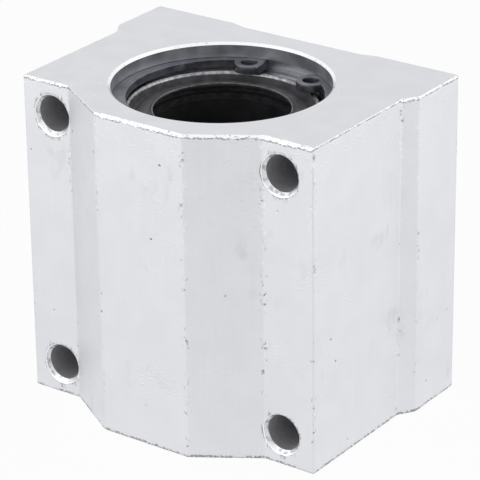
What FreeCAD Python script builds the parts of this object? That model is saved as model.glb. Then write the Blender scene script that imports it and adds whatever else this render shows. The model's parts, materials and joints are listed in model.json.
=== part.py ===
import FreeCAD, Part

import itertools
import math
import os

from FreeCAD import Vector

# Linear bearing block for a 20 mm shaft: an aluminium housing around a ball bushing
# that two internal circlips keep in its bore. Lengths are in millimetres.
# The origin is on the bore axis, midway along the block. +Z runs along the bore,
# +Y points out of the flat mounting face and -Y out of the hump.

# ---- housing: the extruded section ----
BLOCK_WIDTH = 54.0
BLOCK_LENGTH = 50.0
FLANGE_DEPTH = 35.0  # mounting face to the face of the flanges
HUMP_HEIGHT = 6.0  # face of the flanges to the crest of the hump
AXIS_HEIGHT = 21.0  # mounting face to the bore axis
SIDE_LAND_DEPTH = 10.5  # full-width strip beside the mounting face
SIDE_SLOPE_RUN = 2.5  # depth over which the strip slopes in to the relieved flanks
SIDE_RELIEF = 1.6  # how far each flank is set in from the full width
FLANGE_WIDTH = 10.0  # full width to the foot of the hump
HUMP_SLOPE_RUN = 9.4  # foot of the hump to its flat crest
RECESS_DEPTH = 0.7  # shallow channel along the middle of the mounting face
RECESS_WIDTH = 26.2
RECESS_SLOPE_RUN = 2.9
LONG_EDGE_CHAMFER = 0.4
END_CHAMFER = 0.4
BORE_CHAMFER = 0.5

# ---- housing: the four mounting holes ----
BOLT_HOLE_DIAMETER = 5.2
BOLT_BORE_WALL = 1.4  # between each hole and the bore that it passes
BOLT_END_MARGIN = 5.0  # from each hole's axis to the block's end
BOLT_COUNTERSINK_DIAMETER = 7.0
BOLT_COUNTERSINK_DEPTH = 0.65

# ---- ball bushing ----
SHAFT_DIAMETER = 20.0
BEARING_WALL = 6.0  # shaft to the outside of the sleeve
BEARING_RECESS = 4.0  # end of the sleeve below the block's end
SLEEVE_EDGE_CHAMFER = 0.5
BALL_DIAMETER = 3.175
CIRCUIT_COUNT = 5
TURN_RADIUS = 3.3  # half the distance between a circuit's loaded row and its return row
RAMP_LENGTH = 3.0  # end of the loaded row, where the balls lift off the shaft
LAND_HALF_ANGLE = 12.0  # degrees to each side of a loaded row
CAGE_SHAFT_CLEARANCE = 0.2
CAGE_FLOOR_THICKNESS = 0.2  # at the middle of the flat channel floor, where it is thinnest
CAGE_RACE_CLEARANCE = 0.175
CAGE_END_WALL = 0.8
SLOT_LIP = 0.14  # each side of a slot reaches this far under the balls and holds them in
BALL_SIDE_CLEARANCE = 0.2
BALL_LIFT_CLEARANCE = 0.06
SLOT_END_CLEARANCE = 0.3
END_RING_THICKNESS = 0.8
END_RING_SHAFT_CLEARANCE = 0.5

# ---- wiper seals ----
SEAL_THICKNESS = 1.8
SEAL_LIP_SETBACK = 0.1  # from the sleeve's end to the tip of the lip
SEAL_RIM_SETBACK = 0.8
SEAL_RIM_WIDTH = 1.3
SEAL_LIP_THICKNESS = 0.25

# ---- internal circlips and their grooves ----
CIRCLIP_THICKNESS = 1.2
CIRCLIP_GROOVE_WIDTH = 1.3
CIRCLIP_GROOVE_DEPTH = 0.85
CIRCLIP_PLAY = 0.5  # between each end of the sleeve and its circlip
CIRCLIP_WIDTH_MIDDLE = 3.2
CIRCLIP_WIDTH_AT_LUGS = 1.8
CIRCLIP_LUG_HEIGHT = 4.8
CIRCLIP_LUG_HOLE_DIAMETER = 2.5
CIRCLIP_LUG_WALL = 0.95
CIRCLIP_LUG_SPREAD = 49.0  # degrees between the two plier holes
CIRCLIP_GAP_DIRECTION = 85.0  # degrees from +X towards +Y

# ---- radii and heights that follow from the values above ----
HALF_LENGTH = BLOCK_LENGTH / 2
BASE_Y = AXIS_HEIGHT
FLANGE_Y = BASE_Y - FLANGE_DEPTH
CREST_Y = FLANGE_Y - HUMP_HEIGHT
FLANK_X = BLOCK_WIDTH / 2 - SIDE_RELIEF
SHAFT_RADIUS = SHAFT_DIAMETER / 2
BORE_RADIUS = SHAFT_RADIUS + BEARING_WALL
BOLT_X = BORE_RADIUS + BOLT_BORE_WALL + BOLT_HOLE_DIAMETER / 2
BOLT_Z = HALF_LENGTH - BOLT_END_MARGIN
BALL_RADIUS = BALL_DIAMETER / 2
LOADED_ROW_RADIUS = SHAFT_RADIUS + BALL_RADIUS
RACE_RADIUS = LOADED_ROW_RADIUS + BALL_RADIUS
CAGE_INNER_RADIUS = SHAFT_RADIUS + CAGE_SHAFT_CLEARANCE
CAGE_OUTER_RADIUS = RACE_RADIUS - CAGE_RACE_CLEARANCE
CHANNEL_FLOOR = CAGE_INNER_RADIUS + CAGE_FLOOR_THICKNESS
RETURN_ROW_RADIUS = math.hypot(CHANNEL_FLOOR + BALL_LIFT_CLEARANCE + BALL_RADIUS, TURN_RADIUS)
RELIEF_RADIUS = RETURN_ROW_RADIUS + BALL_RADIUS + BALL_LIFT_CLEARANCE
CHANNEL_HALF_WIDTH = BALL_RADIUS + BALL_SIDE_CLEARANCE
SLOT_HALF_WIDTH = BALL_RADIUS - SLOT_LIP
SLEEVE_END = HALF_LENGTH - BEARING_RECESS
SEAL_TIP = SLEEVE_END - SEAL_LIP_SETBACK
SEAL_BACK = SEAL_TIP - SEAL_THICKNESS
CAGE_END = SEAL_BACK - END_RING_THICKNESS
ROW_END = CAGE_END - CAGE_END_WALL - CHANNEL_HALF_WIDTH - TURN_RADIUS
LOADED_END = ROW_END - RAMP_LENGTH
LAND_END = LOADED_END - BALL_RADIUS / 2
CIRCLIP_INNER_FACE = SLEEVE_END + CIRCLIP_PLAY
CIRCLIP_GROOVE_RADIUS = BORE_RADIUS + CIRCLIP_GROOVE_DEPTH

OVERCUT = 1.0  # how far a cutting solid reaches past the surface that it opens
TINY = 1e-6

Z_AXIS = Vector(0, 0, 1)
ORIGIN = Vector(0, 0, 0)


def cylinder(radius, low, high):
    """A cylinder on the bore axis between two heights."""
    return Part.makeCylinder(radius, high - low, Vector(0, 0, low))


def revolved(profile):
    """The solid that a closed (radius, height) outline sweeps about the bore axis."""
    points = [Vector(radius, 0, height) for radius, height in profile]
    wire = Part.makePolygon(points + points[:1])
    return Part.Face(wire).revolve(ORIGIN, Z_AXIS, 360)


def turned(shape, degrees):
    """A copy of a shape, turned about the bore axis."""
    copy = shape.copy()
    copy.rotate(ORIGIN, Z_AXIS, degrees)
    return copy


def mirrored(shape):
    """The same piece for the other end of the block."""
    return shape.mirror(ORIGIN, Z_AXIS)


# ---- housing ----
def housing_section():
    """The extrusion's outline: flat base, flanks, flanges and a trapezoid hump."""
    half_width = BLOCK_WIDTH / 2
    land_end = BASE_Y - SIDE_LAND_DEPTH
    hump_foot = half_width - FLANGE_WIDTH
    right_side = [
        (RECESS_WIDTH / 2 - RECESS_SLOPE_RUN, BASE_Y - RECESS_DEPTH),
        (RECESS_WIDTH / 2, BASE_Y),
        (half_width, BASE_Y),
        (half_width, land_end),
        (FLANK_X, land_end - SIDE_SLOPE_RUN),
        (FLANK_X, FLANGE_Y),
        (hump_foot, FLANGE_Y),
        (hump_foot - HUMP_SLOPE_RUN, CREST_Y),
    ]
    left_side = [(-x, y) for x, y in reversed(right_side)]
    points = [Vector(x, y, -HALF_LENGTH) for x, y in right_side + left_side]
    return Part.Face(Part.makePolygon(points + points[:1]))


def is_outer_long_edge(edge):
    """True for the long edges that stand out: base corners, flank corners and crest."""
    start, end = edge.Vertexes[0].Point, edge.Vertexes[-1].Point
    if abs(start.z - end.z) < HALF_LENGTH:
        return False
    on_side_land = abs(abs(start.x) - BLOCK_WIDTH / 2) < TINY
    on_flank_corner = abs(abs(start.x) - FLANK_X) < TINY and abs(start.y - FLANGE_Y) < TINY
    on_crest = abs(start.y - CREST_Y) < TINY
    return on_side_land or on_flank_corner or on_crest


def is_end_edge(edge):
    """True for an edge that lies in one of the two sawn end faces."""
    box = edge.BoundBox
    return box.ZLength < TINY and abs(abs(box.ZMin) - HALF_LENGTH) < TINY


def bolt_hole(x, z):
    """One through hole along Y, countersunk at the flange."""
    radius = BOLT_HOLE_DIAMETER / 2
    along = Vector(0, 1, 0)
    start = Vector(x, FLANGE_Y - OVERCUT, z)
    drill = Part.makeCylinder(radius, FLANGE_DEPTH + 2 * OVERCUT, start, along)
    mouth = BOLT_COUNTERSINK_DIAMETER / 2
    countersink = Part.makeCone(
        mouth, radius, BOLT_COUNTERSINK_DEPTH, Vector(x, FLANGE_Y, z), along
    )
    return drill.fuse(countersink)


def circlip_groove():
    """The groove of the upper circlip, centred on the ring that springs into it."""
    middle = CIRCLIP_INNER_FACE + CIRCLIP_THICKNESS / 2
    low = middle - CIRCLIP_GROOVE_WIDTH / 2
    return cylinder(CIRCLIP_GROOVE_RADIUS, low, low + CIRCLIP_GROOVE_WIDTH)


def housing():
    body = housing_section().extrude(Vector(0, 0, BLOCK_LENGTH))
    body = body.makeChamfer(LONG_EDGE_CHAMFER, [e for e in body.Edges if is_outer_long_edge(e)])
    body = body.makeChamfer(END_CHAMFER, [e for e in body.Edges if is_end_edge(e)])
    bore = revolved([
        (0, -HALF_LENGTH),
        (BORE_RADIUS + BORE_CHAMFER, -HALF_LENGTH),
        (BORE_RADIUS, -HALF_LENGTH + BORE_CHAMFER),
        (BORE_RADIUS, HALF_LENGTH - BORE_CHAMFER),
        (BORE_RADIUS + BORE_CHAMFER, HALF_LENGTH),
        (0, HALF_LENGTH),
    ])
    holes = [bolt_hole(side * BOLT_X, row * BOLT_Z) for side in (-1, 1) for row in (-1, 1)]
    groove = circlip_groove()
    return body.cut([bore, groove, mirrored(groove)] + holes)


# ---- ball bushing ----
def circuit_angle(index):
    """Direction of a circuit's middle, from +Y about the bore axis."""
    return index * 360 / CIRCUIT_COUNT


def row_tilt(radius):
    """Angle between a circuit's middle and a row of balls at this radius."""
    return math.degrees(math.asin(TURN_RADIUS / radius))


def bearing_sleeve():
    """Hardened steel sleeve: relieved inside, with one ground land per loaded row."""
    edge = SLEEVE_EDGE_CHAMFER
    upper = [
        (BORE_RADIUS, SLEEVE_END - edge),
        (BORE_RADIUS - edge, SLEEVE_END),
        (RELIEF_RADIUS, SLEEVE_END),
    ]
    lower = [(radius, -height) for radius, height in reversed(upper)]
    tube = revolved(upper + lower)
    blank = revolved([
        (RACE_RADIUS, -LAND_END),
        (BORE_RADIUS - edge, -LAND_END),
        (BORE_RADIUS - edge, LAND_END),
        (RACE_RADIUS, LAND_END),
    ])
    wedge = land_wedge()
    first = 90 + row_tilt(LOADED_ROW_RADIUS) - LAND_HALF_ANGLE
    lands = [
        blank.common(turned(wedge, first + circuit_angle(index)))
        for index in range(CIRCUIT_COUNT)
    ]
    return tube.fuse(lands).removeSplitter()


def land_wedge():
    """A sector as wide as one land, its first side along +X."""
    low = Vector(0, 0, -LAND_END)
    return Part.makeCylinder(BORE_RADIUS, 2 * LAND_END, low, Z_AXIS, 2 * LAND_HALF_ANGLE)


def upright_box(half_width, half_height, start, reach):
    """A box along +Y, centred on the middle plane and on the section."""
    corner = Vector(-half_width, start, -half_height)
    return Part.makeBox(2 * half_width, reach, 2 * half_height, corner)


def racetrack(half_width, half_straight, start, reach):
    """A prism along +Y over a straight slot outline with round ends, long in Z."""
    left, right, low, high = -half_width, half_width, -half_straight, half_straight
    outline = Part.Wire([
        Part.makeLine(Vector(left, start, low), Vector(left, start, high)),
        Part.Arc(
            Vector(left, start, high),
            Vector(0, start, high + half_width),
            Vector(right, start, high),
        ).toShape(),
        Part.makeLine(Vector(right, start, high), Vector(right, start, low)),
        Part.Arc(
            Vector(right, start, low),
            Vector(0, start, low - half_width),
            Vector(left, start, low),
        ).toShape(),
    ])
    return Part.Face(outline).extrude(Vector(0, reach, 0))


def circuit_channel():
    """What one circuit cuts from the cage: the looped channel and the loaded row's slot."""
    depth = CAGE_OUTER_RADIUS - CHANNEL_FLOOR + OVERCUT
    loop = racetrack(TURN_RADIUS + CHANNEL_HALF_WIDTH, ROW_END, CHANNEL_FLOOR, depth)
    island = upright_box(TURN_RADIUS - CHANNEL_HALF_WIDTH, ROW_END, CHANNEL_FLOOR, depth)
    slot_start = CAGE_INNER_RADIUS - OVERCUT
    slot = upright_box(
        SLOT_HALF_WIDTH, ROW_END + SLOT_END_CLEARANCE, slot_start, LOADED_ROW_RADIUS - slot_start
    )
    return loop.cut(island).fuse(turned(slot, row_tilt(LOADED_ROW_RADIUS)))


def ball_cage():
    """Moulded cage: a tube with one looped channel per circuit."""
    tube = cylinder(CAGE_OUTER_RADIUS, -CAGE_END, CAGE_END)
    tube = tube.cut(cylinder(CAGE_INNER_RADIUS, -CAGE_END, CAGE_END))
    channel = circuit_channel()
    return tube.cut([turned(channel, circuit_angle(i)) for i in range(CIRCUIT_COUNT)])


def ball():
    """A ball as a light 14-faced solid whose corners lie on the true sphere."""
    scale = BALL_RADIUS / math.sqrt(2)
    corners = [
        Vector(*(scale * step for step in steps))
        for steps in itertools.product((-1, 0, 1), repeat=3)
        if steps.count(0) == 1
    ]
    normals = [
        Vector(*steps).normalize()
        for steps in itertools.product((-1, 0, 1), repeat=3)
        if steps.count(0) in (0, 2)
    ]
    return Part.Solid(Part.Shell([ball_facet(corners, normal) for normal in normals]))


def ball_facet(corners, normal):
    """The flat of the ball that faces along one direction."""
    reach = max(corner.dot(normal) for corner in corners)
    rim = [corner for corner in corners if reach - corner.dot(normal) < TINY]
    middle = sum(rim, Vector()) * (1 / len(rim))
    first = (rim[0] - middle).normalize()
    second = normal.cross(first)
    rim.sort(key=lambda c: math.atan2((c - middle).dot(second), (c - middle).dot(first)))
    return Part.Face(Part.makePolygon(rim + rim[:1]))


def loop_point(distance):
    """Sideways place and height on the circuit's loop, the loaded row being at -X."""
    straight = 2 * ROW_END
    half_turn = math.pi * TURN_RADIUS
    if distance < straight:
        return -TURN_RADIUS, distance - ROW_END
    distance -= straight
    if distance < half_turn:
        angle = math.pi - distance / TURN_RADIUS
        return TURN_RADIUS * math.cos(angle), ROW_END + TURN_RADIUS * math.sin(angle)
    distance -= half_turn
    if distance < straight:
        return TURN_RADIUS, ROW_END - distance
    angle = -(distance - straight) / TURN_RADIUS
    return TURN_RADIUS * math.cos(angle), -ROW_END + TURN_RADIUS * math.sin(angle)


def path_radius(x, z):
    """Distance of a ball's centre from the shaft's axis at one place on the loop."""
    on_loaded_row = abs(x + TURN_RADIUS) < TINY and abs(z) < ROW_END
    if not on_loaded_row:
        return RETURN_ROW_RADIUS
    climbed = max(0, abs(z) - LOADED_END) / RAMP_LENGTH
    return LOADED_ROW_RADIUS + climbed * (RETURN_ROW_RADIUS - LOADED_ROW_RADIUS)


def ball_circuit(index):
    """One circuit's balls, spread evenly so that they clear each other in the turns."""
    loop_length = 4 * ROW_END + 2 * math.pi * TURN_RADIUS
    closest = 2 * TURN_RADIUS * math.asin(BALL_RADIUS / TURN_RADIUS)
    count = math.floor(loop_length / closest)
    pattern = ball()
    balls = []
    for place in range(count):
        x, z = loop_point(place * loop_length / count)
        y = math.sqrt(path_radius(x, z) ** 2 - x * x)
        balls.append(pattern.translated(Vector(x, y, z)))
    return turned(Part.makeCompound(balls), circuit_angle(index))


def end_ring():
    """Upper steel ring that closes the cage's end."""
    inner = SHAFT_RADIUS + END_RING_SHAFT_CLEARANCE
    low, high = CAGE_END, CAGE_END + END_RING_THICKNESS
    return cylinder(RELIEF_RADIUS, low, high).cut(cylinder(inner, low, high))


def seal():
    """Upper wiper seal: a rubber disc whose face rises to a lip on the shaft."""
    rim = SLEEVE_END - SEAL_RIM_SETBACK
    return revolved([
        (SHAFT_RADIUS, SEAL_TIP),
        (SHAFT_RADIUS, SEAL_BACK),
        (RELIEF_RADIUS, SEAL_BACK),
        (RELIEF_RADIUS, rim),
        (RELIEF_RADIUS - SEAL_RIM_WIDTH, rim),
        (SHAFT_RADIUS + SEAL_LIP_THICKNESS, SEAL_TIP),
    ])


# ---- circlips ----
def circlip():
    """Upper circlip: an eccentric spring ring with two pierced plier lugs."""
    outer = CIRCLIP_GROOVE_RADIUS
    shift = (CIRCLIP_WIDTH_MIDDLE - CIRCLIP_WIDTH_AT_LUGS) / 2
    inner = outer - (CIRCLIP_WIDTH_MIDDLE + CIRCLIP_WIDTH_AT_LUGS) / 2
    low, high = CIRCLIP_INNER_FACE, CIRCLIP_INNER_FACE + CIRCLIP_THICKNESS
    disc = cylinder(outer, low, high)
    opening = cylinder(inner, low, high).translated(Vector(shift, 0, 0))
    half_spread = CIRCLIP_LUG_SPREAD / 2
    gap = Part.makeCylinder(
        outer + OVERCUT, CIRCLIP_THICKNESS, Vector(0, 0, low), Z_AXIS, CIRCLIP_LUG_SPREAD
    )
    ring = disc.cut([opening, turned(gap, -half_spread)])

    hole_radius = CIRCLIP_LUG_HOLE_DIAMETER / 2
    lug_radius = hole_radius + CIRCLIP_LUG_WALL
    hole_place = outer - CIRCLIP_LUG_HEIGHT + lug_radius
    head = cylinder(lug_radius, low, high).translated(Vector(hole_place, 0, 0))
    neck = Part.makeBox(
        outer - hole_place, 2 * lug_radius, CIRCLIP_THICKNESS, Vector(hole_place, -lug_radius, low)
    )
    lug = head.fuse(neck).common(disc)
    hole = cylinder(hole_radius, low, high).translated(Vector(hole_place, 0, 0))
    for side in (-half_spread, half_spread):
        ring = ring.fuse(turned(lug, side))
    for side in (-half_spread, half_spread):
        ring = ring.cut(turned(hole, side))
    return turned(ring.removeSplitter(), CIRCLIP_GAP_DIRECTION)


def pieces():
    """Every piece of the block, by name."""
    made = {"housing": housing(), "bearing_sleeve": bearing_sleeve(), "ball_cage": ball_cage()}
    for index in range(CIRCUIT_COUNT):
        made[f"ball_circuit_{index + 1}"] = ball_circuit(index)
    for name, piece in (("end_ring", end_ring()), ("seal", seal()), ("circlip", circlip())):
        made[f"{name}_top"] = piece
        made[f"{name}_bottom"] = mirrored(piece)
    return made


os.makedirs("parts", exist_ok=True)
for name, shape in pieces().items():
    shape.exportStep(f"parts/{name}.step")
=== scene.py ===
import json
import math

import bmesh
import bpy
from mathutils import Matrix, Vector, noise

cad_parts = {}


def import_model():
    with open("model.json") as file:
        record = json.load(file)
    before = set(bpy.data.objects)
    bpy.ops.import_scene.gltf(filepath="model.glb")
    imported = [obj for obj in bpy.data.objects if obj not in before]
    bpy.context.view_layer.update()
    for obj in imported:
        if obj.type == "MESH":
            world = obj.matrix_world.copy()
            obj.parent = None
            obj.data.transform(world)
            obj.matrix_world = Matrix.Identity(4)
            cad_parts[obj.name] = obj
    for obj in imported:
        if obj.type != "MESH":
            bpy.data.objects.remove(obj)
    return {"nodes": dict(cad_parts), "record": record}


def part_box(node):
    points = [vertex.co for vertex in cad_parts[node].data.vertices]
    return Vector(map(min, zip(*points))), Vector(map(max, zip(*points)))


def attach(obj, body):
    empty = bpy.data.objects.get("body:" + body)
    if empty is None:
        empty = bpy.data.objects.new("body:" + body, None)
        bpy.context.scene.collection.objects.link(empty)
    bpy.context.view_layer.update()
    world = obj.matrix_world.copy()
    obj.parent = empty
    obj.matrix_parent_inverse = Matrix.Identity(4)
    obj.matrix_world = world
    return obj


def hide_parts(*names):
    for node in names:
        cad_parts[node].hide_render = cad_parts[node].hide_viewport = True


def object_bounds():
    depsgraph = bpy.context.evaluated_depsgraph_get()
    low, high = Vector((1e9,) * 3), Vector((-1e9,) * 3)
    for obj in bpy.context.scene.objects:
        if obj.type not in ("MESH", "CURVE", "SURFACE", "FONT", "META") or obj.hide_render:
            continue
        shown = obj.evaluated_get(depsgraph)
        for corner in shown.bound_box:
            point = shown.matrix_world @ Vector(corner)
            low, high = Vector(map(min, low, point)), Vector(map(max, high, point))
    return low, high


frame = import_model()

# Linear bearing block: the looks of the housing, the ball bushing and the circlips.
# Lengths are in metres, in the frame of the CAD model: the origin is on the bore axis,
# midway along the block, +Z runs along the bore and +Y out of the flat mounting face.

MM = 0.001
CAD_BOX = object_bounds()
NODES = frame["nodes"]
MOUNTS = {mount["name"]: mount for mount in frame["record"]["mounts"]}


# ---- sizes that come from the frame ----
def radius_of(node):
    """Outer radius of a node that is centred on the bore axis."""
    low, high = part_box(node)
    return (high.x - low.x) / 2


BLOCK_LOW, BLOCK_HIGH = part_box("housing")
HALF_WIDTH = BLOCK_HIGH.x
HALF_LENGTH = BLOCK_HIGH.z
BASE_Y = BLOCK_HIGH.y
CREST_Y = BLOCK_LOW.y
COUNTERSINK_DEPTH = 0.65 * MM  # the mount's point is this far below the flange's face
FLANGE_Y = MOUNTS["flange_holes"]["pos_m"][1] - COUNTERSINK_DEPTH
BOLT_X = MOUNTS["flange_holes"]["dims"]["spacing_x_mm"] * MM / 2
BOLT_Z = MOUNTS["flange_holes"]["dims"]["spacing_y_mm"] * MM / 2
HOLE_RADIUS = MOUNTS["flange_holes"]["dims"]["hole_r_mm"] * MM
SHAFT_RADIUS = MOUNTS["shaft_bore"]["dims"]["r_mm"] * MM
BORE_RADIUS = radius_of("bearing_sleeve")
GROOVE_RADIUS = radius_of("circlip_top")
RING_LOW, RING_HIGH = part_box("circlip_top")
SEAL_FACE_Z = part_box("seal_top")[1].z
SEAL_RADIUS = radius_of("seal_top")
DARK_RADIUS = SEAL_RADIUS + 0.55 * MM  # the sleeve is ground bright outside this radius, and near black inside it
DARK_BLEND = 0.05 * MM  # and the change takes this much either way

# ---- housing: the rest of its section ----
LAND_DEPTH = 10.5 * MM
LAND_SLOPE_RUN = 2.5 * MM
FLANK_X = HALF_WIDTH - 1.6 * MM
HUMP_FOOT_X = HALF_WIDTH - 10 * MM
CREST_X = HUMP_FOOT_X - 9.4 * MM
RECESS_MOUTH_X = 13.1 * MM
RECESS_FLOOR_X = 10.2 * MM
RECESS_DEPTH = 0.7 * MM

# ---- fineness ----
OUTLINE_STEP = 0.24 * MM
LEVEL_STEP = 1.1 * MM
BORE_SEGMENTS = 192
HOLE_SEGMENTS = 96
SEAL_SEGMENTS = 144
BALL_SUBDIVISIONS = 3
HOUSING_SMOOTHING = 20  # degrees between faces that are still shaded as one
SEAL_SMOOTHING = 50  # the same for a seal
MERGE_DISTANCE = 0.001 * MM  # corners of a CAD mesh this close are one

# ---- housing: ends and long edges ----
LOWER_CHAMFER = 0.14 * MM
RIM_DEPTH = 0.2 * MM  # band under the end chamfer that takes the painted shadow of the burr
END_MARGIN = 1.6 * MM  # room at each end for the chamfer and its burr
UPPER_BURR_SHADOW = [1, 1, 0.8, 0]  # painted shadow of the burr, on the rings from the end face inwards
LOWER_BURR_SHADOW = [1.6, 1.5, 1, 0]  # beyond 1 the painted shadow is unbroken
EDGE_REACH = 0.45 * MM  # how far from a long edge its nicks reach
BROAD_WAVES, FINE_WAVES, CHIP_WAVES = 0.9, 2.6, 1.7  # unevenness of the ends, per millimetre
CHIP_LEVEL = 0.25  # noise above this is a chip

# ---- housing: bore and holes ----
OVERCUT = 1 * MM  # how far a cutter runs past the face that it cuts
WAVER_RADIUS = 3  # a worn ring reads the noise round a circle of this radius
BORE_CHAMFER = 0.38 * MM
GROOVE_PLAY = 0.05 * MM
GROOVE_DRAFT = 0.02 * MM
COUNTERSINK_WIDTH = 0.5 * MM
COUNTERSINK_REACH = 0.42 * MM  # how deep the visible cut goes
COUNTERSINK_LEAN = (-0.18 * MM, -0.2 * MM)  # the cutter wandered this far across and down
BURR_WIDTH = 0.14 * MM
BURR_WOBBLE = 0.09 * MM
MOUTH_WOBBLE = 0.07 * MM
FLARE_WIDTH = 0.14 * MM  # the hole is this much wider where the countersink ends
FLARE_REACH = 1.6 * MM
REAR_COUNTERSINK = 0.45 * MM
THREAD_PITCH = 1.0 * MM
THREAD_DEPTH = 0.36 * MM
THREAD_LENGTH = 12.0 * MM
THREAD_START = BASE_Y - REAR_COUNTERSINK - THREAD_LENGTH
THREAD_DIVISIONS = 8  # rings in one turn of the thread

# ---- order of the materials on the housing and on a seal ----
SKIN, CUT, MILLED, BORED, DRILLED, COUNTERSUNK, CHAMFERED = range(7)
RUBBER, LIP, CASE = range(3)

# ---- softened corners of the CAD pieces that show ----
SLEEVE_SOFTENING = 0.08 * MM
CIRCLIP_SOFTENING = 0.07 * MM
CORNER_ANGLE = 40  # degrees from which an edge counts as a corner

# ---- camera and light ----
CAMERA_AZIMUTH = 35.846
CAMERA_ELEVATION = 24.104
CAMERA_ROLL = -0.713
CAMERA_LENS = 211.98
CAMERA_DISTANCE = 415.46 * MM
CAMERA_AIM_RIGHT = 2.33 * MM  # the view's centre is this far right of the origin
WORLD_LEVEL = 0.5
FLOOR_SIZE = 3.0  # metres
FLOOR_GLOW = 0.94
FLOOR_GAP = 0.02 * MM  # keeps the floor from lying in the end face
LAMPS = {  # azimuth and elevation in degrees, distance, size, and power in watts
    "key": (-32, 25, 0.45, 0.4, 0.55),
    "fill": (120, 20, 0.5, 0.45, 0.7),
}


# ---- mesh tools ----
def piece(name, mesh, materials):
    """Puts a finished mesh in the scene as a piece of the object."""
    obj = bpy.data.objects.new(name, mesh)
    bpy.context.scene.collection.objects.link(obj)
    for material in materials:
        mesh.materials.append(material)
    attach(obj, "root")
    return obj


def ring_mesh(name, rings, skins, closed=False):
    """A surface through rings of points: closed as a tube is, or capped at both ends.

    Each skin is the material from its ring to the next one, and the last is the caps'.
    """
    count = len(rings[0])
    points = [point for ring in rings for point in ring]
    spans = len(rings) if closed else len(rings) - 1
    faces = []
    for span in range(spans):
        here, there = span * count, (span + 1) % len(rings) * count
        for i in range(count):
            j = (i + 1) % count
            faces.append((here + i, here + j, there + j, there + i))
    if not closed:
        faces.append(tuple(reversed(range(count))))
        faces.append(tuple(range(len(points) - count, len(points))))
    mesh = bpy.data.meshes.new(name)
    mesh.from_pydata(points, [], faces)
    side_skins = [skin for skin in skins[:spans] for _ in range(count)]
    cap_skins = [] if closed else [skins[-1]] * 2
    mesh.polygons.foreach_set("material_index", side_skins + cap_skins)
    tidy = bmesh.new()
    tidy.from_mesh(mesh)
    bmesh.ops.recalc_face_normals(tidy, faces=tidy.faces)
    tidy.to_mesh(mesh)
    tidy.free()
    return mesh


def turned_ring(radius, height, segments, wobble=0.0, seed=0.0):
    """A ring about the Z axis whose radius may waver slightly, as hand work leaves it."""
    ring = []
    for i in range(segments):
        angle = 2 * math.pi * i / segments
        way = Vector((math.cos(angle), math.sin(angle), 0))
        wavering = wobble * noise.noise(way * WAVER_RADIUS + Vector((0, 0, seed)))
        ring.append(way * (radius + wavering) + Vector((0, 0, height)))
    return ring


def smooth_by_angle(mesh, degrees):
    """Shades a mesh smooth, apart from the edges that are sharper than the angle."""
    mesh.shade_smooth()
    mesh.set_sharp_from_angle(angle=math.radians(degrees))


def carve(obj, cutters):
    """Cuts solids out of a piece for good, with the cutters' own materials on the cuts."""
    tools = []
    for number, cutter in enumerate(cutters):
        for material in obj.data.materials:
            cutter.materials.append(material)
        tool = bpy.data.objects.new(f"cutter_{number}", cutter)
        bpy.context.scene.collection.objects.link(tool)
        tools.append(tool)
        cut = obj.modifiers.new(tool.name, "BOOLEAN")
        cut.operation = "DIFFERENCE"
        cut.solver = "EXACT"
        cut.material_mode = "INDEX"
        cut.object = tool
    graph = bpy.context.evaluated_depsgraph_get()
    carved = bpy.data.meshes.new_from_object(obj.evaluated_get(graph))
    obj.modifiers.clear()
    obj.data = carved
    for tool in tools:
        bpy.data.objects.remove(tool)


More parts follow.
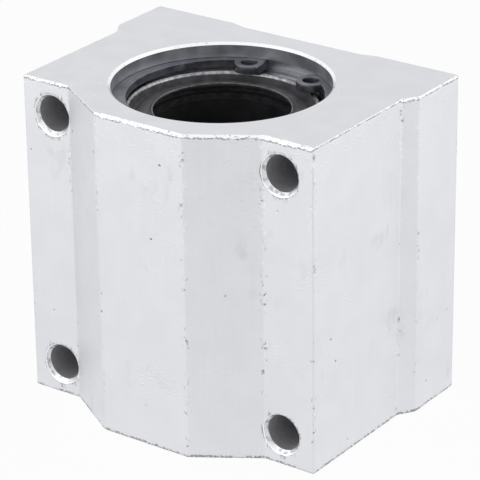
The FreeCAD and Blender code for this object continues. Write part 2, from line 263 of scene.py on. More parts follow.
# ---- material tools ----
class Finish:
    """A material under construction: each call adds a shader node and returns its output."""

    def __init__(self, name, colour, metallic, roughness):
        self.material = bpy.data.materials.new(name)
        self.material.use_nodes = True
        self.tree = self.material.node_tree
        self.shader = self.tree.nodes["Principled BSDF"]
        self.shader.inputs["Base Color"].default_value = (*colour, 1)
        self.shader.inputs["Metallic"].default_value = metallic
        self.shader.inputs["Roughness"].default_value = roughness
        self.place = self.tree.nodes.new("ShaderNodeTexCoord").outputs["Object"]
        self.relief = None

    def feed(self, socket, value):
        """Links a node's output to a socket, or sets the socket to a plain value."""
        if isinstance(value, bpy.types.NodeSocket):
            self.tree.links.new(value, socket)
        else:
            socket.default_value = value

    def math(self, operation, *values):
        """Result of one operation on outputs or plain numbers."""
        node = self.tree.nodes.new("ShaderNodeMath")
        node.operation = operation
        for socket, value in zip(node.inputs, values):
            self.feed(socket, value)
        return node.outputs[0]

    def stretched(self, factors):
        """Place on the object, scaled along each axis."""
        node = self.tree.nodes.new("ShaderNodeVectorMath")
        node.operation = "MULTIPLY"
        self.tree.links.new(self.place, node.inputs[0])
        node.inputs[1].default_value = factors
        return node.outputs[0]

    def grain(self, size, detail, stretch=(1, 1, 1)):
        """Soft noise whose blobs are about this size, in metres, before the stretch."""
        node = self.tree.nodes.new("ShaderNodeTexNoise")
        self.tree.links.new(self.stretched(stretch), node.inputs["Vector"])
        node.inputs["Scale"].default_value = 1 / size
        node.inputs["Detail"].default_value = detail
        return node.outputs["Fac"]

    def cells(self, size):
        """Distance from scattered points, which lie about this far apart."""
        node = self.tree.nodes.new("ShaderNodeTexVoronoi")
        self.tree.links.new(self.place, node.inputs["Vector"])
        node.inputs["Scale"].default_value = 1 / size
        return node.outputs["Distance"]

    def span(self, value, low, high, to_low=0.0, to_high=1.0):
        """Stretches one range of a value to another and clamps it."""
        node = self.tree.nodes.new("ShaderNodeMapRange")
        for socket, item in zip(node.inputs, (value, low, high, to_low, to_high)):
            self.feed(socket, item)
        return node.outputs[0]

    def from_axis(self):
        """Distance from the bore axis."""
        node = self.tree.nodes.new("ShaderNodeVectorMath")
        node.operation = "LENGTH"
        self.tree.links.new(self.stretched((1, 1, 0)), node.inputs[0])
        return node.outputs["Value"]

    def height(self):
        """Height along the bore axis."""
        node = self.tree.nodes.new("ShaderNodeSeparateXYZ")
        self.tree.links.new(self.place, node.inputs[0])
        return node.outputs["Z"]

    def attribute(self, name):
        """Value that the mesh carries under this name."""
        node = self.tree.nodes.new("ShaderNodeAttribute")
        node.attribute_name = name
        return node.outputs["Fac"]

    def mix(self, factor, first, second):
        """Blend of two colours: the first where the factor is 0, the second where it is 1."""
        node = self.tree.nodes.new("ShaderNodeMix")
        node.data_type = "RGBA"
        self.feed(node.inputs["Factor"], factor)
        self.feed(node.inputs["A"], first if not isinstance(first, tuple) else (*first, 1))
        self.feed(node.inputs["B"], second if not isinstance(second, tuple) else (*second, 1))
        return node.outputs["Result"]

    def raise_by(self, height, distance):
        """Adds relief: height runs from 0 to 1 over this distance, in metres."""
        node = self.tree.nodes.new("ShaderNodeBump")
        node.inputs["Distance"].default_value = distance
        self.tree.links.new(height, node.inputs["Height"])
        if self.relief:
            self.tree.links.new(self.relief, node.inputs["Normal"])
        self.relief = node.outputs["Normal"]

    def done(self, colour, roughness):
        """The finished material, with its colour, roughness and relief linked."""
        self.tree.links.new(colour, self.shader.inputs["Base Color"])
        self.tree.links.new(roughness, self.shader.inputs["Roughness"])
        if self.relief:
            self.tree.links.new(self.relief, self.shader.inputs["Normal"])
        return self.material


# ---- materials ----
def extruded_aluminium():
    """Drawn skin of the extrusion: matt, faintly streaked, pitted, nicked at its edges."""
    finish = Finish("extruded_aluminium", (0.72, 0.73, 0.76), 1.0, 0.5)
    near_edge = finish.attribute("edge")
    rim = finish.attribute("rim")
    height = finish.height()

    # The drawn surface itself.
    cloud = finish.grain(5 * MM, 4)
    streak = finish.grain(0.35 * MM, 2, (1, 1, 0.02))
    fine = finish.grain(0.22 * MM, 2)
    skin = finish.mix(finish.span(cloud, 0.35, 0.65), (0.725, 0.735, 0.765), (0.75, 0.76, 0.79))
    skin = finish.mix(finish.span(streak, 0.3, 0.7, 0.0, 0.12), skin, (0.82, 0.83, 0.85))

    # Pits here and there, nicks on the long edges, and a painted shadow under the burr at the ends.
    pit = finish.span(finish.cells(2.6 * MM), 0.10, 0.04)
    pit = finish.math("MULTIPLY", pit, finish.span(finish.grain(6 * MM, 1), 0.55, 0.62))
    nick = finish.span(finish.grain(0.45 * MM, 3, (1, 1, 0.6)), 0.60, 0.66)
    nick = finish.math("MULTIPLY", nick, finish.span(finish.grain(4 * MM, 1), 0.5, 0.58))
    nick = finish.math("MULTIPLY", nick, near_edge)
    burr_shadow = finish.span(finish.grain(0.4 * MM, 3), 0.44, 0.54)
    burr_shadow = finish.math("MULTIPLY", burr_shadow, finish.span(finish.grain(2.5 * MM, 2), 0.36, 0.46))
    burr_shadow = finish.span(finish.math("MULTIPLY", burr_shadow, rim), 0.0, 1.0)
    burr_shadow = finish.math("MAXIMUM", burr_shadow, finish.span(rim, 1.0, 2.0))
    # Real pits and nicks, and the painted shadow under the burr, darken the skin together.
    hurt_and_burr_shadow = finish.math("MAXIMUM", finish.math("MAXIMUM", pit, nick), burr_shadow)

    # Scuffs, mostly near the upper end, and a few grey smudges.
    scuff = finish.span(finish.grain(0.5 * MM, 3, (0.6, 0.6, 1.5)), 0.58, 0.68)
    scuffed = finish.span(finish.grain(9 * MM, 2), 0.54, 0.66)
    near_end = finish.span(height, HALF_LENGTH - 10 * MM, HALF_LENGTH, 0.0, 0.8)
    scuff = finish.math("MULTIPLY", scuff, finish.math("MAXIMUM", scuffed, near_end))
    smudge = finish.span(finish.grain(2.2 * MM, 4, (1, 1, 0.5)), 0.55, 0.7)
    smudge = finish.math("MULTIPLY", smudge, finish.span(finish.grain(12 * MM, 1), 0.54, 0.62))

    # A painted highlight on the long edges in their upper half.
    gleam = finish.span(finish.grain(0.5 * MM, 3, (1, 1, 0.7)), 0.57, 0.65)
    upper_part = finish.span(height, HALF_LENGTH - 26 * MM, HALF_LENGTH - 10 * MM)
    gleam = finish.math("MULTIPLY", gleam, finish.math("MULTIPLY", near_edge, upper_part))

    skin = finish.mix(finish.math("MULTIPLY", scuff, 0.1), skin, (0.45, 0.46, 0.48))
    skin = finish.mix(finish.math("MULTIPLY", smudge, 0.2), skin, (0.42, 0.43, 0.45))
    skin = finish.mix(finish.math("MULTIPLY", hurt_and_burr_shadow, 0.8), skin, (0.2, 0.2, 0.21))
    skin = finish.mix(finish.math("MULTIPLY", gleam, 0.6), skin, (0.95, 0.95, 0.95))
    finish.raise_by(streak, 0.004 * MM)
    finish.raise_by(fine, 0.012 * MM)
    finish.raise_by(scuff, 0.03 * MM)
    finish.raise_by(finish.math("SUBTRACT", 1.0, hurt_and_burr_shadow), 0.08 * MM)
    return finish.done(skin, finish.span(fine, 0.3, 0.7, 0.44, 0.56))


def cut_aluminium():
    """Chamfers of the upper end: bright metal that a file has just cut, scratched."""
    finish = Finish("cut_aluminium", (0.93, 0.93, 0.94), 1.0, 0.38)
    scratch = finish.grain(0.3 * MM, 3, (1, 1, 3))
    patch = finish.grain(0.42 * MM, 4)
    colour = finish.mix(finish.span(patch, 0.57, 0.66), (0.92, 0.92, 0.93), (0.5, 0.5, 0.52))
    finish.raise_by(scratch, 0.02 * MM)
    return finish.done(colour, finish.span(patch, 0.3, 0.7, 0.3, 0.5))


def countersunk_aluminium():
    """Mouths of the holes: the mottled smears that a turning cutter leaves."""
    finish = Finish("countersunk_aluminium", (0.7, 0.71, 0.73), 1.0, 0.36)
    smear = finish.grain(0.8 * MM, 3)
    ripple = finish.grain(0.2 * MM, 2)
    colour = finish.mix(finish.span(smear, 0.47, 0.63), (0.7, 0.705, 0.72), (0.4, 0.405, 0.42))
    finish.raise_by(ripple, 0.005 * MM)
    return finish.done(colour, finish.span(smear, 0.3, 0.7, 0.4, 0.5))


def chamfered_aluminium():
    """Mouths of the bore and rims of the holes: bright turned metal, barely marked."""
    finish = Finish("chamfered_aluminium", (0.93, 0.93, 0.94), 1.0, 0.3)
    turning = finish.grain(0.15 * MM, 2, (0.05, 0.05, 1))
    mark = finish.grain(0.5 * MM, 3)
    colour = finish.mix(finish.span(mark, 0.63, 0.7), (0.93, 0.93, 0.94), (0.6, 0.6, 0.62))
    finish.raise_by(turning, 0.004 * MM)
    return finish.done(colour, finish.span(mark, 0.3, 0.7, 0.26, 0.36))


def milled_aluminium():
    """The two end faces: even and matt, with the faint arcs of the cutter."""
    finish = Finish("milled_aluminium", (0.7, 0.71, 0.73), 1.0, 0.42)
    cloud = finish.grain(4 * MM, 4)
    feed = finish.grain(0.3 * MM, 2, (0.05, 1, 1))
    fine = finish.grain(0.2 * MM, 2)
    spot = finish.span(finish.cells(3.1 * MM), 0.06, 0.03)
    face = finish.mix(finish.span(cloud, 0.35, 0.65), (0.675, 0.685, 0.71), (0.705, 0.715, 0.74))
    face = finish.mix(spot, face, (0.95, 0.95, 0.95))
    finish.raise_by(feed, 0.004 * MM)
    finish.raise_by(fine, 0.008 * MM)
    return finish.done(face, finish.span(fine, 0.3, 0.7, 0.38, 0.5))


def bored_aluminium():
    """Turned wall of the bore: matt, with fine rings and a smear of oil, and painted darker than the
    skin as the shade inside the bore.
    """
    finish = Finish("bored_aluminium", (0.5, 0.51, 0.54), 1.0, 0.42)
    turning = finish.grain(0.3 * MM, 2, (0.02, 0.02, 1))
    smear = finish.grain(3 * MM, 3)
    colour = finish.mix(finish.span(smear, 0.35, 0.65), (0.4, 0.41, 0.44), (0.5, 0.51, 0.54))
    finish.raise_by(turning, 0.002 * MM)
    return finish.done(colour, finish.span(smear, 0.3, 0.7, 0.36, 0.48))


def drilled_aluminium():
    """Walls of the drilled holes: dull metal, painted darker than the skin as the shade deep in the
    holes.
    """
    finish = Finish("drilled_aluminium", (0.42, 0.42, 0.44), 0.7, 0.55)
    turning = finish.grain(0.2 * MM, 2, (1, 0.04, 1))
    smear = finish.grain(1.2 * MM, 3)
    colour = finish.mix(finish.span(smear, 0.35, 0.7), (0.54, 0.54, 0.56), (0.44, 0.44, 0.46))
    finish.raise_by(turning, 0.006 * MM)
    return finish.done(colour, finish.span(smear, 0.3, 0.7, 0.48, 0.62))


def spring_steel():
    """Phosphated spring steel: blue black, faintly blotched, with small painted glints."""
    finish = Finish("spring_steel", (0.1, 0.105, 0.115), 0.85, 0.36)
    blotch = finish.grain(1.8 * MM, 4)
    grit = finish.grain(0.12 * MM, 2)
    # Painted glints: small bright specks scattered over the steel.
    glint = finish.span(finish.cells(2.2 * MM), 0.06, 0.03)
    colour = finish.mix(finish.span(blotch, 0.35, 0.65), (0.115, 0.121, 0.142), (0.205, 0.213, 0.24))
    colour = finish.mix(glint, colour, (0.7, 0.7, 0.72))
    finish.raise_by(grit, 0.008 * MM)
    return finish.done(colour, finish.span(blotch, 0.3, 0.7, 0.3, 0.44))


def ground_steel():
    """Hardened sleeve: ground bright outside a radius, and near black inside it."""
    finish = Finish("ground_steel", (0.5, 0.505, 0.52), 1.0, 0.28)
    marks = finish.grain(0.3 * MM, 2, (0.05, 0.05, 1))
    smear = finish.grain(2 * MM, 3)
    bright = finish.mix(finish.span(smear, 0.35, 0.65), (0.5, 0.505, 0.52), (0.62, 0.625, 0.64))
    dark = finish.mix(finish.span(smear, 0.35, 0.65), (0.03, 0.03, 0.034), (0.06, 0.06, 0.065))
    ground = finish.span(finish.from_axis(), DARK_RADIUS - DARK_BLEND, DARK_RADIUS + DARK_BLEND)
    finish.raise_by(marks, 0.002 * MM)
    return finish.done(finish.mix(ground, dark, bright), finish.span(smear, 0.3, 0.7, 0.26, 0.34))


def pressed_steel():
    """End rings: pressed steel with a dull black oxide."""
    finish = Finish("pressed_steel", (0.06, 0.06, 0.065), 0.8, 0.5)
    smear = finish.grain(1.2 * MM, 4)
    grit = finish.grain(0.15 * MM, 2)
    colour = finish.mix(finish.span(smear, 0.35, 0.65), (0.05, 0.05, 0.055), (0.08, 0.08, 0.085))
    finish.raise_by(grit, 0.006 * MM)
    return finish.done(colour, finish.span(smear, 0.3, 0.7, 0.44, 0.58))


def chrome_steel():
    """Polished balls under a thin, uneven film of oil."""
    finish = Finish("chrome_steel", (0.72, 0.72, 0.73), 1.0, 0.08)
    film = finish.grain(0.8 * MM, 3)
    colour = finish.mix(finish.span(film, 0.4, 0.7), (0.74, 0.74, 0.75), (0.6, 0.59, 0.56))
    return finish.done(colour, finish.span(film, 0.3, 0.7, 0.05, 0.14))


def moulded_resin():
    """Cage: dark moulded resin with a fine eroded texture."""
    finish = Finish("moulded_resin", (0.012, 0.012, 0.013), 0.0, 0.55)
    finish.shader.inputs["Specular IOR Level"].default_value = 0.25
    texture = finish.grain(0.14 * MM, 2)
    shade = finish.grain(3 * MM, 3)
    colour = finish.mix(finish.span(shade, 0.35, 0.65), (0.013, 0.013, 0.015), (0.024, 0.024, 0.027))
    finish.raise_by(texture, 0.01 * MM)
    return finish.done(colour, finish.span(texture, 0.3, 0.7, 0.44, 0.58))


def seal_rubber():
    """Black nitrile rubber: satin, with mould bloom and specks of dust."""
    finish = Finish("seal_rubber", (0.03, 0.03, 0.032), 0.0, 0.42)
    bloom = finish.grain(1.4 * MM, 4)
    skin = finish.grain(0.12 * MM, 2)
    dust = finish.span(finish.cells(1.3 * MM), 0.05, 0.02)
    colour = finish.mix(finish.span(bloom, 0.4, 0.7), (0.065, 0.065, 0.07), (0.115, 0.115, 0.122))
    colour = finish.mix(finish.math("MULTIPLY", dust, 0.6), colour, (0.5, 0.5, 0.5))
    finish.raise_by(skin, 0.008 * MM)
    return finish.done(colour, finish.span(bloom, 0.3, 0.7, 0.36, 0.5))


def seal_lip():
    """Tip of the lip: glossier rubber, painted lighter grey as the lip's highlight."""
    finish = Finish("seal_lip", (0.12, 0.12, 0.125), 0.0, 0.25)
    wear = finish.grain(0.9 * MM, 3)
    # The lighter grey is a painted highlight, and the noise makes it uneven.
    colour = finish.mix(finish.span(wear, 0.4, 0.65), (0.07, 0.07, 0.075), (0.22, 0.22, 0.225))
    return finish.done(colour, finish.span(wear, 0.3, 0.7, 0.2, 0.32))


def seal_case():
    """Steel case of a seal, polished where it shows round the rubber."""
    finish = Finish("seal_case", (0.3, 0.3, 0.31), 1.0, 0.3)
    wear = finish.grain(0.7 * MM, 3)
    colour = finish.mix(finish.span(wear, 0.4, 0.65), (0.2, 0.2, 0.212), (0.4, 0.4, 0.415))
    return finish.done(colour, finish.span(wear, 0.3, 0.7, 0.26, 0.38))


# ---- housing ----
# Each corner of the section: its place, its rounding in millimetres, and the width in
# millimetres of the upper end's chamfer on the side that follows it. The list runs round
# the block from the recess, and the front edges are the ones deburred most by hand.
HOUSING_CORNERS = [
    (RECESS_FLOOR_X, BASE_Y - RECESS_DEPTH, 0.4, 0.15),
    (RECESS_MOUTH_X, BASE_Y, 0.3, 0.15),
    (HALF_WIDTH, BASE_Y, 0.5, 0.2),
    (HALF_WIDTH, BASE_Y - LAND_DEPTH, 0.7, 0.3),
    (FLANK_X, BASE_Y - LAND_DEPTH - LAND_SLOPE_RUN, 0.7, 0.08),
    (FLANK_X, FLANGE_Y, 0.4, 0.42),
    (HUMP_FOOT_X, FLANGE_Y, 1.0, 0.36),
    (CREST_X, CREST_Y, 1.3, 0.42),
    (-CREST_X, CREST_Y, 1.3, 0.06),
    (-HUMP_FOOT_X, FLANGE_Y, 1.0, 0.26),
    (-FLANK_X, FLANGE_Y, 0.4, 0.18),
    (-FLANK_X, BASE_Y - LAND_DEPTH - LAND_SLOPE_RUN, 0.7, 0.2),
    (-HALF_WIDTH, BASE_Y - LAND_DEPTH, 0.7, 0.2),
    (-HALF_WIDTH, BASE_Y, 0.5, 0.15),
    (-RECESS_MOUTH_X, BASE_Y, 0.3, 0.15),
    (-RECESS_FLOOR_X, BASE_Y - RECESS_DEPTH, 0.4, 0.15),
]


def housing_outline():
    """Closely spaced points round the section: (place, chamfer width, edge nearness)."""
    count = len(HOUSING_CORNERS)
    places = [Vector((x, y)) for x, y, _, _ in HOUSING_CORNERS]
    onward = [(places[(i + 1) % count] - places[i]).normalized() for i in range(count)]
    cuts = []
    for i, (_, _, rounding, _) in enumerate(HOUSING_CORNERS):
        turn = onward[i - 1].angle(onward[i])
        cuts.append(rounding * MM * math.tan(turn / 2))
    line = []
    for i, (_, _, _, width) in enumerate(HOUSING_CORNERS):
        corner, following = places[i], (i + 1) % count
        earlier = HOUSING_CORNERS[i - 1][3]
        start = corner - onward[i - 1] * cuts[i]
        end = corner + onward[i] * cuts[i]
        stop = places[following] - onward[i] * cuts[following]
        steps = max(4, math.ceil(4 * cuts[i] / OUTLINE_STEP))
        for step in range(steps + 1):
            t = step / steps
            place = start * (1 - t) ** 2 + corner * (2 * t * (1 - t)) + end * t**2
            line.append((place, (earlier * (1 - t) + width * t) * MM))
        steps = max(1, round((stop - end).length / OUTLINE_STEP))
        for step in range(1, steps):
            line.append((end.lerp(stop, step / steps), width * MM))
    outline = []
    for place, width in line:
        distance = min((place - corner).length for corner in places)
        outline.append((place, width, math.exp(-((distance / EDGE_REACH) ** 2))))
    return outline


def inward_ways(places):
    """Unit vectors into the material, one for each point of the outline."""
    ways = []
    for i, place in enumerate(places):
        along = (places[(i + 1) % len(places)] - places[i - 1]).normalized()
        ways.append(Vector((-along.y, along.x)))
    if sum(way.dot(place) for way, place in zip(ways, places)) > 0:
        ways = [-way for way in ways]
    return ways


def end_rings(outline, ways, side):
    """Rings at one end: the cap's edge, the ragged chamfer's edge, its burr, clean skin."""
    cap, chamfer, burr, clean = [], [], [], []
    for (place, width, _), way in zip(outline, ways):
        if side < 0:
            width = LOWER_CHAMFER
        spot = Vector((place.x, place.y, side)) / MM
        broad = noise.noise(spot * BROAD_WAVES)
        fine = noise.noise(spot * FINE_WAVES + Vector((7, 0, 0)))
        chip = max(0.0, noise.noise(spot * CHIP_WAVES + Vector((0, 9, 0))) - CHIP_LEVEL)
        inset = width * (1 + 0.3 * broad + 0.3 * fine)
        drop = width * (0.9 + 0.35 * broad - 0.4 * fine + 1.6 * chip)
        inner = place + way * inset
        lip = place - way * (0.05 * width * (1 + fine))
        edge_z = HALF_LENGTH - drop
        cap.append(Vector((*inner, side * HALF_LENGTH)))
        chamfer.append(Vector((*lip, side * edge_z)))
        burr.append(Vector((*place, side * (edge_z - RIM_DEPTH))))
        clean.append(Vector((*place, side * (edge_z - 2 * RIM_DEPTH))))
    return [cap, chamfer, burr, clean]


def housing_mesh():
    """The extrusion without its bore and holes, with its edges and the painted shadow under its burr
    marked.
    """
    outline = housing_outline()
    places = [place for place, _, _ in outline]
    ways = inward_ways(places)
    reach = HALF_LENGTH - END_MARGIN
    levels = round(2 * reach / LEVEL_STEP)
    middle = []
    for level in range(levels + 1):
        height = -reach + 2 * reach * level / levels
        middle.append([Vector((*place, height)) for place in places])
    lower, upper = end_rings(outline, ways, -1), end_rings(outline, ways, 1)
    rings = lower + middle + upper[::-1]
    # How strongly each ring takes the painted shadow under the burr.
    rims = LOWER_BURR_SHADOW + [0] * len(middle) + UPPER_BURR_SHADOW[::-1]
    skins = [SKIN] * (len(rings) - 2) + [CUT, MILLED]
    mesh = ring_mesh("housing_detailed", rings, skins)
    edge = mesh.attributes.new("edge", "FLOAT", "POINT")
    edge.data.foreach_set("value", [near for _ in rings for _, _, near in outline])
    rim = mesh.attributes.new("rim", "FLOAT", "POINT")
    rim.data.foreach_set("value", [value for value in rims for _ in outline])
    return mesh


def bore_cutter():
    """The bore with its chamfered mouths and its two circlip grooves."""
    groove_low, groove_high = RING_LOW.z - GROOVE_PLAY, RING_HIGH.z + GROOVE_PLAY
    half = [
        (BORE_RADIUS, 0, BORED),
        (BORE_RADIUS, groove_low, BORED),
        (GROOVE_RADIUS, groove_low + GROOVE_DRAFT, BORED),
        (GROOVE_RADIUS, groove_high - GROOVE_DRAFT, BORED),
        (BORE_RADIUS, groove_high, BORED),
        (BORE_RADIUS, HALF_LENGTH - BORE_CHAMFER, BORED),
        (BORE_RADIUS + BORE_CHAMFER, HALF_LENGTH, CHAMFERED),
        (BORE_RADIUS + BORE_CHAMFER, HALF_LENGTH + OVERCUT, CHAMFERED),
    ]
    outward = half[1:]
    inward = outward[::-1]
    upper = [turned_ring(radius, height, BORE_SEGMENTS) for radius, height, _ in half]
    lower = [turned_ring(radius, -height, BORE_SEGMENTS) for radius, height, _ in inward]
    skins = [skin for _, _, skin in inward + outward]
    return ring_mesh("bore_cutter", lower + upper, skins)


def thread_rings():
    """Rings whose radius follows a thread that deepens over its first turn."""
    steps = round(THREAD_LENGTH / THREAD_PITCH * THREAD_DIVISIONS)
    rings = []
    for step in range(1, steps + 1):
        height = THREAD_START + THREAD_LENGTH * step / steps
        ring = []
        for i in range(HOLE_SEGMENTS):
            angle = 2 * math.pi * i / HOLE_SEGMENTS
            turns = (height / THREAD_PITCH - i / HOLE_SEGMENTS) % 1
            flank = 1 - abs(2 * turns - 1)
            radius = HOLE_RADIUS + THREAD_DEPTH * flank * min(1, step / THREAD_DIVISIONS)
            ring.append(Vector((radius * math.cos(angle), radius * math.sin(angle), height)))
        rings.append(ring)
    return rings


def hole_cutter(x, z):
    """One through hole along Y: countersunk in front, threaded from the mounting face."""
    seed = x / MM + z / MM * 2  # gives each hole its own wear
    mouth = HOLE_RADIUS + COUNTERSINK_WIDTH
    rear = HOLE_RADIUS + THREAD_DEPTH + REAR_COUNTERSINK
    lean = Vector((*COUNTERSINK_LEAN, 0))

    def worn_ring(radius, height, wobble):
        ring = turned_ring(radius, height, HOLE_SEGMENTS, wobble, seed)
        return [point + lean for point in ring]

    thread = thread_rings()
    rings = [
        worn_ring(mouth + BURR_WIDTH, FLANGE_Y - OVERCUT, BURR_WOBBLE),
        worn_ring(mouth + BURR_WIDTH, FLANGE_Y, BURR_WOBBLE),
        worn_ring(mouth, FLANGE_Y + BURR_WIDTH / 2, MOUTH_WOBBLE),
        turned_ring(HOLE_RADIUS + FLARE_WIDTH, FLANGE_Y + COUNTERSINK_REACH, HOLE_SEGMENTS),
        turned_ring(HOLE_RADIUS, FLANGE_Y + FLARE_REACH, HOLE_SEGMENTS),
        turned_ring(HOLE_RADIUS, THREAD_START, HOLE_SEGMENTS),
        *thread,
        turned_ring(rear, BASE_Y, HOLE_SEGMENTS),
        turned_ring(rear, BASE_Y + OVERCUT, HOLE_SEGMENTS),
    ]
    skins = [COUNTERSUNK, CHAMFERED, COUNTERSUNK, DRILLED, DRILLED]
    skins += [DRILLED] * len(thread) + [COUNTERSUNK] * 3
    # The rings are made about Z, and laid along Y here: their heights become y.
    laid = [[Vector((x + point.x, point.z, z + point.y)) for point in ring] for ring in rings]
    return ring_mesh("hole_cutter", laid, skins)


def housing():
    """The block as one piece, in place of its CAD node."""
    finishes = {
        SKIN: extruded_aluminium(),
        CUT: cut_aluminium(),
        MILLED: milled_aluminium(),
        BORED: bored_aluminium(),
        DRILLED: drilled_aluminium(),
        COUNTERSUNK: countersunk_aluminium(),
        CHAMFERED: chamfered_aluminium(),
    }
    obj = piece("housing_detailed", housing_mesh(), finishes.values())
    holes = [hole_cutter(side * BOLT_X, row * BOLT_Z) for side in (-1, 1) for row in (-1, 1)]
    carve(obj, [bore_cutter()] + holes)
    smooth_by_angle(obj.data, HOUSING_SMOOTHING)
    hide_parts("housing")


# ---- ball bushing ----
def seal(name, side, finishes):
    """Wiper seal: the raised rim of its steel case, and a face that rises to its lip."""
    profile = [  # radius, depth below the CAD seal's face in millimetres, and material
        (SHAFT_RADIUS + 0.02 * MM, 0.3, RUBBER),
        (SHAFT_RADIUS, 0.14, LIP),
        (SHAFT_RADIUS + 0.04 * MM, 0.03, LIP),
        (SHAFT_RADIUS + 0.12 * MM, 0.0, LIP),
        (SHAFT_RADIUS + 0.2 * MM, 0.02, LIP),
        (SHAFT_RADIUS + 0.27 * MM, 0.12, LIP),
        (SHAFT_RADIUS + 0.4 * MM, 0.3, RUBBER),
        (SHAFT_RADIUS + 0.9 * MM, 0.4, RUBBER),
        (SHAFT_RADIUS + 2.3 * MM, 0.62, RUBBER),
        (SHAFT_RADIUS + 2.5 * MM, 0.72, RUBBER),
        (SHAFT_RADIUS + 2.65 * MM, 0.84, RUBBER),
        (SHAFT_RADIUS + 2.9 * MM, 0.86, RUBBER),
        (SEAL_RADIUS - 0.84 * MM, 0.86, RUBBER),
        (SEAL_RADIUS - 0.76 * MM, -0.08, CASE),
        (SEAL_RADIUS - 0.7 * MM, -0.26, CASE),
        (SEAL_RADIUS - 0.58 * MM, -0.4, CASE),
        (SEAL_RADIUS - 0.4 * MM, -0.48, CASE),
        (SEAL_RADIUS - 0.22 * MM, -0.48, CASE),
        (SEAL_RADIUS - 0.08 * MM, -0.4, CASE),
        (SEAL_RADIUS - 0.02 * MM, -0.26, CASE),
        (SEAL_RADIUS - 0.02 * MM, -0.1, CASE),
        (SEAL_RADIUS, 1.8, RUBBER),
        (SHAFT_RADIUS + 1.5 * MM, 1.8, RUBBER),
        (SHAFT_RADIUS + 1.2 * MM, 1.1, RUBBER),
        (SHAFT_RADIUS + 0.3 * MM, 0.62, RUBBER),
    ]
    rings = [
        turned_ring(radius, side * (SEAL_FACE_Z - depth * MM), SEAL_SEGMENTS)
        for radius, depth, _ in profile
    ]
    skins = [skin for _, _, skin in profile]
    mesh = ring_mesh(name, rings, skins, closed=True)
    obj = piece(name, mesh, finishes)
    smooth_by_angle(mesh, SEAL_SMOOTHING)
    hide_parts("seal_top" if side > 0 else "seal_bottom")


def ball_centres(node):
    """Centres and radius of a circuit's balls, from the separate solids of its CAD node."""
    solids = bmesh.new()
    solids.from_mesh(NODES[node].data)
    bmesh.ops.remove_doubles(solids, verts=solids.verts, dist=MERGE_DISTANCE)
    seen = set()
    centres, radius = [], 0
    for first in solids.verts:
        if first in seen:
            continue
        seen.add(first)
        corners = [first]
        for vertex in corners:  # the list grows until the whole solid is in it
            for edge in vertex.link_edges:
                other = edge.other_vert(vertex)
                if other not in seen:
                    seen.add(other)
                    corners.append(other)
        centre = sum((vertex.co for vertex in corners), Vector()) / len(corners)
        radius = max((vertex.co - centre).length for vertex in corners)
        centres.append(centre)
    solids.free()
    return centres, radius


def ball_circuit(number, steel):
    """One circuit's balls as true round ones, in place of the faceted solids."""
    node = f"ball_circuit_{number}"
    centres, radius = ball_centres(node)
    balls = bmesh.new()
    for centre in centres:
        place = Matrix.Translation(centre)
        bmesh.ops.create_icosphere(
            balls, subdivisions=BALL_SUBDIVISIONS, radius=radius, matrix=place
        )
    mesh = bpy.data.meshes.new(f"balls_{number}")
    balls.to_mesh(mesh)
    balls.free()
    mesh.shade_smooth()
    obj = piece(f"balls_{number}", mesh, (steel,))
    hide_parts(node)


def dress(node, material, soften=None):
    """Gives a CAD node its finish and, where it shows, lightly rounded corners."""
    obj = NODES[node]
    obj.data.materials.clear()
    obj.data.materials.append(material)
    if soften:
        weld = obj.modifiers.new("weld", "WELD")
        weld.merge_threshold = MERGE_DISTANCE
        bevel = obj.modifiers.new("soften", "BEVEL")
        bevel.width = soften
        bevel.segments = 2
        bevel.limit_method = "ANGLE"
        bevel.angle_limit = math.radians(CORNER_ANGLE)
        shading = obj.modifiers.new("shading", "WEIGHTED_NORMAL")
        shading.keep_sharp = False


# ---- surroundings ----
def white_for_camera(tree, dim):
    """1 where a camera, glossy or transmission ray looks, and dim for all other light."""
    path = tree.nodes.new("ShaderNodeLightPath")
    seen = path.outputs["Is Camera Ray"]
    for name in ("Is Glossy Ray", "Is Transmission Ray"):
        either = tree.nodes.new("ShaderNodeMath")
        either.operation = "MAXIMUM"
        tree.links.new(seen, either.inputs[0])
        tree.links.new(path.outputs[name], either.inputs[1])
        seen = either.outputs[0]
    level = tree.nodes.new("ShaderNodeMapRange")
    level.inputs["To Min"].default_value = dim
    level.inputs["To Max"].default_value = 1.0
    tree.links.new(seen, level.inputs["Value"])
    return level.outputs[0]


def floor():
    """Pale floor under the block that keeps its shadow."""
    bpy.ops.mesh.primitive_plane_add(size=FLOOR_SIZE, location=(0, 0, CAD_BOX[0].z - FLOOR_GAP))
    obj = bpy.context.object
    obj.name = "floor"
    material = bpy.data.materials.new("floor")
    material.use_nodes = True
    tree = material.node_tree
    shader = tree.nodes["Principled BSDF"]
    shader.inputs["Base Color"].default_value = (0.9, 0.9, 0.9, 1)
    shader.inputs["Roughness"].default_value = 0.9
    shader.inputs["Specular IOR Level"].default_value = 0.1
    glow = tree.nodes.new("ShaderNodeEmission")
    mix = tree.nodes.new("ShaderNodeMixShader")
    tree.links.new(shader.outputs[0], mix.inputs[1])
    tree.links.new(glow.outputs[0], mix.inputs[2])
    share = tree.nodes.new("ShaderNodeMath")
    share.operation = "MULTIPLY"
    share.inputs[1].default_value = FLOOR_GLOW
    tree.links.new(white_for_camera(tree, 0.0), share.inputs[0])
    tree.links.new(share.outputs[0], mix.inputs[0])
    tree.links.new(mix.outputs[0], tree.nodes["Material Output"].inputs["Surface"])
    obj.data.materials.append(material)


def world():
    """White where it is seen or mirrored, and a plain even level as light."""
    made = bpy.data.worlds.new("studio")
    bpy.context.scene.world = made
    made.use_nodes = True
    tree = made.node_tree
    background = tree.nodes["Background"]
    background.inputs["Color"].default_value = (1, 1, 1, 1)
    tree.links.new(white_for_camera(tree, WORLD_LEVEL), background.inputs["Strength"])


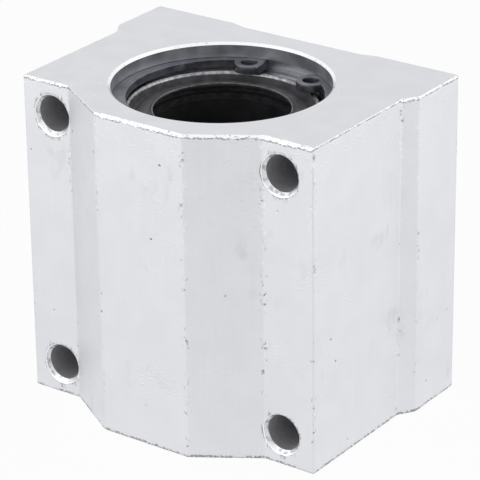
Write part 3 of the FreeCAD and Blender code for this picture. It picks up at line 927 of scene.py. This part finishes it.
def direction(azimuth, elevation):
    """Unit vector towards a viewer: azimuth 0 is in front, on the hump's side."""
    turn, rise = math.radians(azimuth), math.radians(elevation)
    level = math.cos(rise)
    return Vector((math.sin(turn) * level, -math.cos(turn) * level, math.sin(rise)))


def lamp(name, azimuth, elevation, distance, size, power):
    """A square soft box that faces the object."""
    light = bpy.data.lights.new(name, "AREA")
    light.size = size
    light.energy = power
    obj = bpy.data.objects.new(name, light)
    bpy.context.scene.collection.objects.link(obj)
    back = direction(azimuth, elevation)
    obj.location = back * distance
    obj.rotation_mode = "QUATERNION"
    obj.rotation_quaternion = (-back).to_track_quat("-Z", "Y")


def camera():
    """A long lens that sees the block from its front right, and from above."""
    back = direction(CAMERA_AZIMUTH, CAMERA_ELEVATION)
    upright = (-back).to_track_quat("-Z", "Y").to_matrix()
    turn = upright @ Matrix.Rotation(math.radians(CAMERA_ROLL), 3, "Z")
    data = bpy.data.cameras.new("camera")
    data.lens = CAMERA_LENS
    obj = bpy.data.objects.new("camera", data)
    bpy.context.scene.collection.objects.link(obj)
    aim = turn.col[0] * CAMERA_AIM_RIGHT
    obj.location = aim + back * CAMERA_DISTANCE
    obj.rotation_mode = "QUATERNION"
    obj.rotation_quaternion = turn.to_quaternion()
    data.clip_start, data.clip_end = 0.01, 10
    bpy.context.scene.camera = obj


# ---- the whole scene ----
housing()
seal_finishes = [seal_rubber(), seal_lip(), seal_case()]
seal("seal_detailed_top", 1, seal_finishes)
seal("seal_detailed_bottom", -1, seal_finishes)
ball_finish = chrome_steel()
for number in range(1, 6):
    ball_circuit(number, ball_finish)
ring_finish = pressed_steel()
spring_finish = spring_steel()
dress("bearing_sleeve", ground_steel(), SLEEVE_SOFTENING)
dress("ball_cage", moulded_resin())
for end in ("top", "bottom"):
    dress(f"end_ring_{end}", ring_finish)
    dress(f"circlip_{end}", spring_finish, CIRCLIP_SOFTENING)

floor()
world()
for lamp_name, values in LAMPS.items():
    lamp(lamp_name, *values)
camera()
bpy.context.scene.view_settings.view_transform = "Standard"
